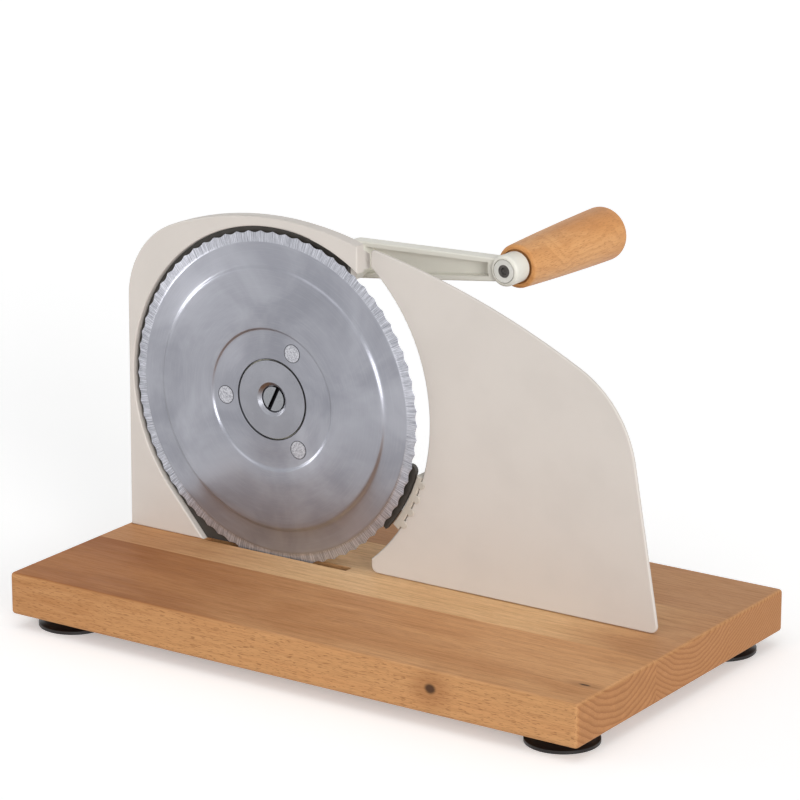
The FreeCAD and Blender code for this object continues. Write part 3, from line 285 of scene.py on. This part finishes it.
def beech(name, wood):
    # solid wood: growth rings about a heart for each stave, drawn out along the grain
    made = Finish(name, wood["ring"], wood["roughness"], Specular_IOR_Level=wood["gloss"])
    x, y, z = made.split()
    facing = [made.calc("ABSOLUTE", part) for part in made.split(made.facing)]
    endFacing, sideFacing = facing[:2]
    if wood["grain"] == "Y":
        x, y = y, x
        endFacing, sideFacing = sideFacing, endFacing

    first = wood["staves"][0]
    heart = {key: first[key] for key in ("y", "z", "gap")}
    light, warm = staveTone(made, x, first)
    for before, after in zip(wood["staves"], wood["staves"][1:]):
        past = made.calc("GREATER_THAN", y, before["edge"])
        for key in heart:
            heart[key] = made.calc("MULTIPLY_ADD", past, after[key] - before[key], heart[key])
        nextLight, nextWarm = staveTone(made, x, after)
        light = made.mix(past, light, nextLight)
        warm = made.mix(past, warm, nextWarm)

    dy = made.calc("SUBTRACT", y, heart["y"])
    dz = made.calc("SUBTRACT", z, heart["z"])
    sway = made.swing(made.drawnOut((x, dy, dz), wood["swayAlong"], *woodLook["flow"]))
    crinkle = made.swing(made.noise(made.place, *woodLook["crinkle"]))
    reach = made.calc("MULTIPLY_ADD", sway, wood["sway"], made.distance(dy, dz))
    reach = made.calc("MULTIPLY_ADD", crinkle, wood["crinkle"], reach)
    rings = made.calc("FRACT", made.calc("DIVIDE", reach, heart["gap"]))
    rise = made.range(rings, *woodLook["ringRise"])
    ringLine = made.calc("MULTIPLY", rise, made.range(rings, *woodLook["ringFall"]))

    ends = made.range(endFacing, *woodLook["endFacing"])
    sides = made.range(sideFacing, *woodLook["sideFacing"])
    squarest = made.calc("MAXIMUM", made.calc("MAXIMUM", facing[0], facing[1]), facing[2])
    # rounded edges, where no axis leads the normal: the mask of a painted edge highlight
    edges = made.range(squarest, *woodLook["edgeFacing"])
    smudge = made.drawnOut((x, y, z), *woodLook["smudge"])
    streaks = made.drawnOut((x, y, z), *woodLook["streaks"])
    fibres = made.drawnOut((x, y, z), *woodLook["fibres"])
    cells = made.drawnOut((x, y, z), wood["fleckLength"], wood["fleckWidth"], woodLook["fleckDetail"])
    fleckShare = made.calc("MULTIPLY_ADD", sides, wood["fleckSides"], wood["fleckShare"])
    fleckLeft = made.calc("SUBTRACT", 1.0, made.calc("MULTIPLY", ends, woodLook["fleckLossAtEnds"]))
    flecks = made.calc("MULTIPLY", made.range(cells, *woodLook["fleckSpan"]), fleckShare)
    flecks = made.calc("MULTIPLY", flecks, fleckLeft)
    # end grain shows its rings plainly, the long faces only faintly
    ringShare = made.calc("MULTIPLY_ADD", ends, wood["endRings"], wood["longRings"])

    layers = [
        (made.calc("MULTIPLY", sides, wood["sideShare"]), wood["side"]),
        (ends, wood["end"]),
        (made.range(streaks, *woodLook["streakSpan"], 0.0, woodLook["streakShare"]), warm),
        # painted highlight: the rounded edges take the side tone
        (made.calc("MULTIPLY", edges, wood["paintedEdgeHighlight"]), wood["side"]),
        (made.calc("MULTIPLY", ringLine, ringShare), wood["ring"]),
        (made.range(fibres, *woodLook["fibreSpan"], 0.0, woodLook["fibreShare"]), wood["ring"]),
        (flecks, wood["fleck"]),
    ]
    for knot in wood["knots"]:
        gone = [made.calc("SUBTRACT", part, centre) for part, centre in zip((x, y, z), knot["at"])]
        span = made.stretch(gone, (1.0 / knot["long"], 1.0 / knot["wide"], 1.0 / knot["wide"]))
        away = made.add("VectorMath", {0: span}, operation="LENGTH").outputs["Value"]
        away = made.calc("MULTIPLY_ADD", made.swing(streaks), woodLook["knotWander"], away)
        layers.append((made.range(away, *woodLook["knotHalo"]), wood["ring"]))
        layers.append((made.range(away, *woodLook["knotHeart"]), wood["knot"]))
    color = made.mix(made.range(smudge, *woodLook["smudgeSpan"]), light, warm)
    for share, coat in layers:
        color = made.mix(share, color, coat)
    made.put("Base Color", color)
    made.gloss(fibres, middle, *spread(wood["roughness"], *woodLook["gloss"]))
    hollows = made.calc("MULTIPLY", flecks, woodLook["fleckHollow"])
    made.bump(made.calc("SUBTRACT", fibres, hollows), *woodLook["bump"])
    return made.material


# three staves glued side by side, the front one darkest; each ends at its edge
board = {
    "grain": "X",
    "staves": [
        {"edge": -0.0525, "y": -0.0900, "z": 0.0720, "gap": 0.0036,
         "light": (0.450, 0.185, 0.062), "warm": (0.330, 0.118, 0.034), "drift": (-0.150, 0.045),
         "lateLight": (0.700, 0.375, 0.172), "lateWarm": (0.580, 0.280, 0.115)},
        {"edge": 0.0243, "y": -0.0120, "z": 0.0760, "gap": 0.0028,
         "light": (0.620, 0.330, 0.150), "warm": (0.530, 0.260, 0.112),
         "drift": (-0.150, -0.020), "driftBack": (0.165, 0.095),
         "lateLight": (0.830, 0.535, 0.275), "lateWarm": (0.740, 0.450, 0.220)},
        {"y": -0.0100, "z": 0.1150, "gap": 0.0021,
         "light": (0.570, 0.300, 0.140), "warm": (0.490, 0.240, 0.105)},
    ],
    "side": (0.550, 0.290, 0.123),
    "sideShare": 0.90,
    "end": (0.450, 0.212, 0.086),
    "ring": (0.270, 0.105, 0.038),
    "fleck": (0.210, 0.085, 0.033),
    "knot": (0.050, 0.024, 0.014),
    "sway": 0.008,
    "swayAlong": 5.0,
    "crinkle": 0.0016,
    "endRings": 0.42,
    "longRings": 0.13,
    "paintedEdgeHighlight": 0.45,
    "fleckLength": 250.0,
    "fleckWidth": 2900.0,
    "fleckShare": 0.20,
    "fleckSides": 0.32,
    "gloss": 0.12,
    "roughness": 0.50,
    "knots": [
        {"at": (0.0950, boardLow.y, 0.0224), "long": 0.0044, "wide": 0.0038},
        {"at": (0.1716, -0.1036, boardHigh.z), "long": 0.0040, "wide": 0.0012},
    ],
}
handle = {
    "grain": "Y",
    "staves": [{"y": gripAxis.x - 0.004, "z": gripAxis.z - 0.020, "gap": 0.0042,
                "light": (0.690, 0.365, 0.152), "warm": (0.590, 0.265, 0.088)}],
    "side": (0.690, 0.350, 0.130),
    "sideShare": 0.3,
    "end": (0.600, 0.285, 0.100),
    "ring": (0.480, 0.205, 0.068),
    "fleck": (0.400, 0.160, 0.052),
    "sway": 0.024,
    "swayAlong": 26.0,
    "crinkle": 0.0008,
    "endRings": 0.25,
    "longRings": 0.34,
    "paintedEdgeHighlight": 0.0,
    "fleckLength": 330.0,
    "fleckWidth": 2300.0,
    "fleckShare": 0.45,
    "fleckSides": 0.05,
    "gloss": 0.25,
    "roughness": 0.44,
    "knots": [],
}
woodBoard = beech("beechBoard", board)
woodGrip = beech("beechGrip", handle)
paintPlate = enamel("creamEnamelPlate", (0.632, 0.586, 0.542))
paintCrank = enamel("creamEnamelCrank", (0.775, 0.755, 0.680))
blackPlastic = plastic("blackPlastic", (0.048, 0.042, 0.036), 0.50)
guardPlastic = plastic("creamPlastic", (0.560, 0.515, 0.450), 0.40)
whitePlastic = plastic("whitePlastic", (0.800, 0.790, 0.740), 0.30)
nylon = plastic("gearNylon", (0.640, 0.620, 0.540), 0.45)
rubber = plastic("blackRubber", (0.006, 0.004, 0.004), 0.42, relief=0.06)
zinc = platedMetal("zincPlate", (0.520, 0.525, 0.540), 0.34)
darkSteel = platedMetal("darkSteel", (0.150, 0.145, 0.140), 0.40, scale=700.0, level=1.5)
gearSteel = turnedMetal("gearSteel", (0.330, 0.335, 0.350), 0.34, crankAxis)
bronze = turnedMetal("oiledBronze", (0.090, 0.072, 0.052), 0.42, bladeAxis)
brass = platedMetal("bushBrass", (0.560, 0.380, 0.140), 0.32)
hubSteel = turnedMetal("hubSteel", (0.330, 0.335, 0.370), 0.34, bladeAxis, 7.0, 3000.0, 0.08)

# slotted screw in the hub: the bottom of its slot is painted dark as shade
screw = {
    "color": (0.330, 0.340, 0.360),
    "shadeLevel": 0.8,
    "roughness": 0.30,
    "gloss": (0.24, 0.36),
    "marks": (5.0, 3500.0),
    "bump": (0.08, 0.0002),
    "slotShadeColor": (0.012, 0.012, 0.014),
    "slotShadeStart": 0.0004,
    "slotShadeFull": 0.0009,
}


def screwFinish():
    made = Finish("screwSteel", screw["color"], screw["roughness"], Metallic=1.0)
    marks = made.toolMarks(made.polar(bladeAxis), *screw["marks"])
    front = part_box("axle_screw")[0].y
    # painted shade: surfaces set back behind the screw's front turn near black
    slotShade = made.range(made.split()[1], front + screw["slotShadeStart"], front + screw["slotShadeFull"])
    tone = made.mix(made.range(marks, *middle), screw["color"], shade(screw["color"], screw["shadeLevel"]))
    made.put("Base Color", made.mix(slotShade, tone, screw["slotShadeColor"]))
    made.gloss(marks, wide, *screw["gloss"])
    made.bump(marks, *screw["bump"])
    return made.material


# rivet heads: hammered flat and speckled, with a dark line round each
rivets = {
    "color": (0.560, 0.565, 0.605),
    "metallic": 0.9,
    "roughness": 0.46,
    "gloss": (0.40, 0.55),
    "bump": (0.20, 0.0003),
    "spots": (1300.0, 3.0, 0.6),
    "speckle": (0.330, 0.335, 0.370),
    "speckleSpan": (0.42, 0.62),
    "rimColor": (0.070, 0.070, 0.080),
    "count": 3,
    "circle": 0.0316,
    "firstAngle": math.radians(64),
    "head": 0.0053,
    "rim": 0.0006,
    "rimDark": 0.4,
}


def rivetFinish():
    made = Finish("rivetSteel", rivets["color"], rivets["roughness"], Metallic=rivets["metallic"])
    radius, across, up = made.polar(bladeAxis)
    share = 2 * math.pi / rivets["count"]
    turn = made.calc("SUBTRACT", made.calc("ARCTAN2", up, across), rivets["firstAngle"])
    turn = made.calc("WRAP", turn, share / 2, -share / 2)
    # distance from the middle of the nearest head, by the law of cosines
    cross = made.calc("MULTIPLY", radius, made.calc("COSINE", turn))
    cross = made.calc("MULTIPLY", cross, 2 * rivets["circle"])
    square = made.calc("MULTIPLY_ADD", radius, radius, rivets["circle"] ** 2)
    away = made.calc("SQRT", made.calc("ABSOLUTE", made.calc("SUBTRACT", square, cross)))
    spots = made.noise(made.place, *rivets["spots"])
    tone = made.mix(made.range(spots, *rivets["speckleSpan"]), rivets["color"], rivets["speckle"])
    rimStart = rivets["head"] - rivets["rim"]
    rimDark = rivets["head"] - rivets["rim"] * rivets["rimDark"]
    made.put("Base Color", made.mix(made.range(away, rimStart, rimDark), tone, rivets["rimColor"]))
    made.gloss(spots, middle, *rivets["gloss"])
    made.bump(spots, *rivets["bump"])
    return made.material


screwSteel = screwFinish()
rivetSteel = rivetFinish()

nodeFinish = {
    woodBoard: ["base_board"],
    woodGrip: ["grip"],
    paintPlate: ["front_plate", "fence_plate", "gear_housing", "guide_block"],
    paintCrank: ["crank_arm"],
    blackPlastic: ["blade_liner", "thickness_knob"],
    guardPlastic: ["edge_guard"],
    whitePlastic: ["grip_bush"],
    nylon: ["drive_gear"],
    rubber: ["foot_front_left", "foot_front_right", "foot_rear_left", "foot_rear_right"],
    zinc: ["crank_shaft", "crank_washer", "crank_nut", "grip_sleeve", "fence_bracket", "fence_nuts",
           "guide_rod_left", "guide_rod_right", "spindle", "plate_screws", "liner_screws",
           "housing_screws", "guide_screws", "foot_screws"],
    darkSteel: ["grip_bolt", "spindle_clip", "knob_screw"],
    gearSteel: ["pinion"],
    bronze: ["blade_bush"],
    brass: ["crank_bush_front", "crank_bush_rear", "guide_bush_left", "guide_bush_right", "spindle_nut"],
    hubSteel: ["axle_hub"],
    screwSteel: ["axle_screw"],
    rivetSteel: ["blade_rivets"],
}
for material, names in nodeFinish.items():
    for name in names:
        mesh = nodes[name].data
        mesh.materials.clear()
        mesh.materials.append(material)
print("materials made")


# objects: helpers for what the scene adds

weldDistance = 1e-6


def newObject(name, data):
    made = bpy.data.objects.new(name, data)
    bpy.context.scene.collection.objects.link(made)
    return made


def newMesh(bm, name, material):
    mesh = bpy.data.meshes.new(name)
    bm.to_mesh(mesh)
    bm.free()
    mesh.materials.append(material)
    return newObject(name, mesh)


def keepMesh(bm, name, material, body, slot, *replaced):
    bmesh.ops.remove_doubles(bm, verts=bm.verts, dist=weldDistance)
    bmesh.ops.recalc_face_normals(bm, faces=bm.faces)
    piece = newMesh(bm, name, material)
    piece.data.shade_smooth()
    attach(piece, body)
    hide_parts(*replaced)


# the blade: one wave drawn out and repeated round the axle

blade = {
    "radius": 0.0950,
    "waves": 72,
    "waveDepth": 0.0011,
    "waveGrowth": 2,
    "waveFlatness": 1.2,
    "waveSteps": 8,
    "rim": 0.0887,
    "thick": 0.0011,
    # radius and depth: from the hole to the ground rim, over the rim, round the edge and in behind it
    "front": [
        (0.0230, -0.0012), (0.0234, -0.00122), (0.0300, -0.0012), (0.0390, -0.0012), (0.0396, -0.00126),
        (0.0400, -0.0015), (0.0404, -0.0020), (0.0408, -0.0023), (0.0414, -0.0024), (0.0500, -0.0024),
        (0.0600, -0.00238), (0.0700, -0.00234), (0.0730, -0.0023), (0.0740, -0.0022), (0.0746, -0.0019),
        (0.0751, -0.0013), (0.0756, -0.0009), (0.0764, -0.0007), (0.0780, -0.00045), (0.0810, -0.00015),
        (0.0840, 0.00005), (0.0870, 0.00018), (0.0884, 0.00026), (0.0887, 0.00032),
    ],
    "edge": [
        (0.0889, 0.00046), (0.0905, 0.00060), (0.0925, 0.00078), (0.0942, 0.00092), (0.0949, 0.00099),
        (0.0950, 0.00101),
    ],
    "back": [(0.0950, 0.00118), (0.0948, 0.00121), (0.0935, 0.0014), (0.0890, 0.0016)],
    "metallic": 0.82,
    "roughness": 0.34,
    "gloss": (0.30, 0.37),
    "groundRoughness": 0.05,
    "dish": (0.385, 0.391, 0.434),
    "dishDark": (0.265, 0.271, 0.308),
    # painted shade at the edge of the blade's hole, where the gap to the hub is
    "bore": (0.030, 0.030, 0.034),
    "boreSpan": (0.0235, 0.0232),
    "ground": (0.640, 0.648, 0.705),
    "groundDark": (0.270, 0.277, 0.315),
    "groundSpan": (0.0001, 0.0003),
    "cloud": (22.0, 4.0, 0.55, 0.6),
    "cloudSpan": (0.30, 0.72),
    "circles": (4.0, 1500.0, 4.0),
    "circleSpan": (0.40, 0.80),
    "circleShare": 0.08,
    "spokes": (280.0, 90.0, 4.0, 0.7),
    "spokeSpan": (0.36, 0.62),
    "bump": (0.07, 0.0003),
    # turned metal: the gloss spreads across the tool marks
    "spread": 0.65,
    "spreadTurn": 0.25,
}


def bladeProfile():
    # stations from the hole over the front to the edge and back to the hole
    behind = [(radius, depth + blade["thick"]) for radius, depth in reversed(blade["front"])]
    return blade["front"] + blade["edge"] + blade["back"] + behind[1:]


def makeBlade():
    stations = bladeProfile()
    last = len(stations) - 1
    repeats = blade["waves"] - 1
    pitch = 2 * math.pi / blade["waves"]
    bm = bmesh.new()
    bmesh.ops.create_grid(bm, x_segments=blade["waveSteps"], y_segments=last, size=0.5)
    for vert in bm.verts:
        along = vert.co.x + 0.5
        radius, depth = stations[round((vert.co.y + 0.5) * last)]
        share = max(0.0, (radius - blade["rim"]) / (blade["radius"] - blade["rim"]))
        hollow = math.sin(math.pi * along) ** blade["waveFlatness"]
        radius -= blade["waveDepth"] * share ** blade["waveGrowth"] * hollow
        turn = along * pitch
        vert.co = Vector((radius * math.cos(turn), depth, radius * math.sin(turn)))
    bmesh.ops.spin(bm, geom=bm.verts[:] + bm.edges[:] + bm.faces[:], cent=(0, 0, 0), axis=(0, -1, 0),
                   dvec=(0, 0, 0), angle=2 * math.pi * repeats / blade["waves"], steps=repeats,
                   use_duplicate=True)
    bmesh.ops.translate(bm, verts=bm.verts, vec=bladeAxis)
    return bm


def bladeFinish():
    # brushed dish, and a rim with coarse grinding lines that run outwards
    made = Finish("bladeSteel", blade["dish"], blade["roughness"], Metallic=blade["metallic"])
    polar = made.polar(bladeAxis)
    radius = polar[0]
    circles = made.toolMarks(polar, *blade["circles"])
    spokes = made.toolMarks(polar, *blade["spokes"])
    cloud = made.noise(made.place, *blade["cloud"])
    ground = made.range(radius, *spread(blade["rim"], *blade["groundSpan"]))
    dish = made.mix(made.range(cloud, *blade["cloudSpan"]), blade["dish"], blade["dishDark"])
    shine = made.range(circles, *blade["circleSpan"], 0.0, blade["circleShare"])
    dish = made.mix(shine, dish, blade["ground"])
    # painted shade: the blade turns near black at the edge of its hole, next to the hub
    dish = made.mix(made.range(radius, *blade["boreSpan"]), dish, blade["bore"])
    grind = made.mix(made.range(spokes, *blade["spokeSpan"]), blade["ground"], blade["groundDark"])
    made.put("Base Color", made.mix(ground, dish, grind))
    gloss = made.range(circles, *middle, *blade["gloss"])
    made.put("Roughness", made.calc("MULTIPLY_ADD", ground, blade["groundRoughness"], gloss))
    lines = made.calc("MULTIPLY_ADD", made.calc("SUBTRACT", spokes, circles), ground, circles)
    made.bump(lines, *blade["bump"])
    made.put("Anisotropic", blade["spread"])
    made.put("Anisotropic Rotation", blade["spreadTurn"])
    made.put("Tangent", made.add("Tangent", direction_type="RADIAL", axis="Y").outputs[0])
    return made.material


keepMesh(makeBlade(), "blade_disc", bladeFinish(), "blade_unit", "blade_steel", "blade")
print("blade made")


# stage: floor, world, lamps and camera

stage = {
    "floorHalf": 30.0,
    "floorColor": (0.93, 0.93, 0.93),
    "floorRoughness": 0.9,
    "floorLift": 0.32,
    "worldLevel": 0.42,
    # name, strength, degrees round from the front, degrees up, degrees of softness
    "lamps": [("rightLamp", 1.75, 57, 11, 28), ("frontLamp", 0.45, 26, 3, 24),
              ("leftLamp", 0.85, -72, 5, 18), ("topLamp", 0.60, 20, 72, 50)],
}


def makeFloor():
    # white to the camera and in reflections, darker in the light it sends up
    paint = Finish("floorPaint", stage["floorColor"], stage["floorRoughness"])
    path = paint.add("LightPath")
    seen = paint.calc("MAXIMUM", path.outputs["Is Camera Ray"], path.outputs["Is Glossy Ray"])
    paint.put("Emission Color", white)
    paint.put("Emission Strength", paint.calc("MULTIPLY", seen, stage["floorLift"]))
    bm = bmesh.new()
    bmesh.ops.create_grid(bm, x_segments=1, y_segments=1, size=stage["floorHalf"])
    floor = newMesh(bm, "floor", paint.material)


def makeWorld():
    # white to the camera and in reflections, dimmer as a source of light
    world = bpy.data.worlds.new("studio")
    world.use_nodes = True
    bpy.context.scene.world = world
    tree = world.node_tree
    background = tree.nodes["Background"]
    path = tree.nodes.new("ShaderNodeLightPath")
    seen = tree.nodes.new("ShaderNodeMath")
    seen.operation = "MAXIMUM"
    level = tree.nodes.new("ShaderNodeMapRange")
    tree.links.new(path.outputs["Is Camera Ray"], seen.inputs[0])
    tree.links.new(path.outputs["Is Glossy Ray"], seen.inputs[1])
    tree.links.new(seen.outputs[0], level.inputs["Value"])
    level.inputs["To Min"].default_value = stage["worldLevel"]
    level.inputs["To Max"].default_value = 1.0
    tree.links.new(level.outputs[0], background.inputs["Strength"])
    background.inputs["Color"].default_value = white


def aim(thing, lift, turn):
    thing.rotation_euler = (math.radians(90 - lift), 0.0, math.radians(turn))


def makeLamps():
    for name, strength, turn, lift, softness in stage["lamps"]:
        sun = bpy.data.lights.new(name, "SUN")
        sun.energy = strength
        sun.angle = math.radians(softness)
        aim(newObject(name, sun), lift, turn)


camera = {
    "place": (1.12503, -1.68384, 0.72481),
    "pitch": 16.372,
    "turn": 34.025,
    "lens": 173.8,
    "sensor": 36.0,
    "clip": (0.05, 100.0),
}


def makeCamera():
    data = bpy.data.cameras.new("camera")
    data.lens = camera["lens"]
    data.sensor_width = camera["sensor"]
    data.clip_start, data.clip_end = camera["clip"]
    viewer = newObject("camera", data)
    viewer.location = camera["place"]
    aim(viewer, camera["pitch"], camera["turn"])
    bpy.context.scene.camera = viewer


makeFloor()
makeWorld()
makeLamps()
makeCamera()
bpy.context.scene.view_settings.view_transform = "Standard"
print("stage made")
